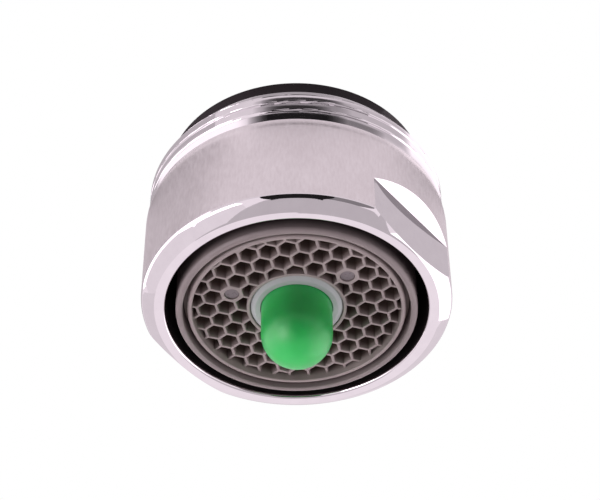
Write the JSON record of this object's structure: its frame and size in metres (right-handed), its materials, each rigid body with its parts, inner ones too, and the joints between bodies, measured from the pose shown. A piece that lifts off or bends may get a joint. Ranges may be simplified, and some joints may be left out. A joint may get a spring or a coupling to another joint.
{
  "type": "tap aerator",
  "caption": "Round chromed tap aerator with a male thread and rubber washer above, a honeycomb outlet below and a sprung push button in its middle that lets more water through.",
  "frame": {"origin": "on the axis, at the lower end of the thread", "axes": "+Z along the axis, from the outlet towards the thread; the spanner flats face +X and -X"},
  "size_m": [0.0242, 0.0242, 0.0199],
  "materials": {
    "chrome_brass": "polished chrome, with a brushed satin band",
    "black_rubber": "matt black rubber",
    "warm_grey_plastic": "satin moulded plastic",
    "light_grey_plastic": "satin moulded plastic",
    "green_plastic": "satin moulded plastic",
    "white_plastic": "satin moulded plastic",
    "stainless_steel": "bright drawn wire and rod"
  },
  "bodies": {
    "aerator": {"housing": "chrome_brass", "sealing_washer": "black_rubber", "insert_casing": "warm_grey_plastic", "honeycomb_outlet": "warm_grey_plastic", "guide_bushing": "light_grey_plastic", "return_spring": "stainless_steel", "spring_cage": "white_plastic", "lower_grid": "warm_grey_plastic", "middle_grid": "warm_grey_plastic", "upper_grid": "warm_grey_plastic", "jet_plate": "white_plastic", "regulator_body": "white_plastic", "regulator_o_ring": "black_rubber", "inlet_strainer": "white_plastic"},
    "plunger": {"push_button": "green_plastic", "valve_stem": "stainless_steel", "valve_disc": "white_plastic", "valve_seal": "black_rubber"}
  },
  "joints": [
    {"name": "button_press", "type": "slide", "parent": "aerator", "child": "plunger", "axis": [0, 0, 1], "range_m": [0, 0.002], "stiffness_N_per_m": 400, "springref_m": -0.002, "deforming": ["return_spring"]}
  ]
}
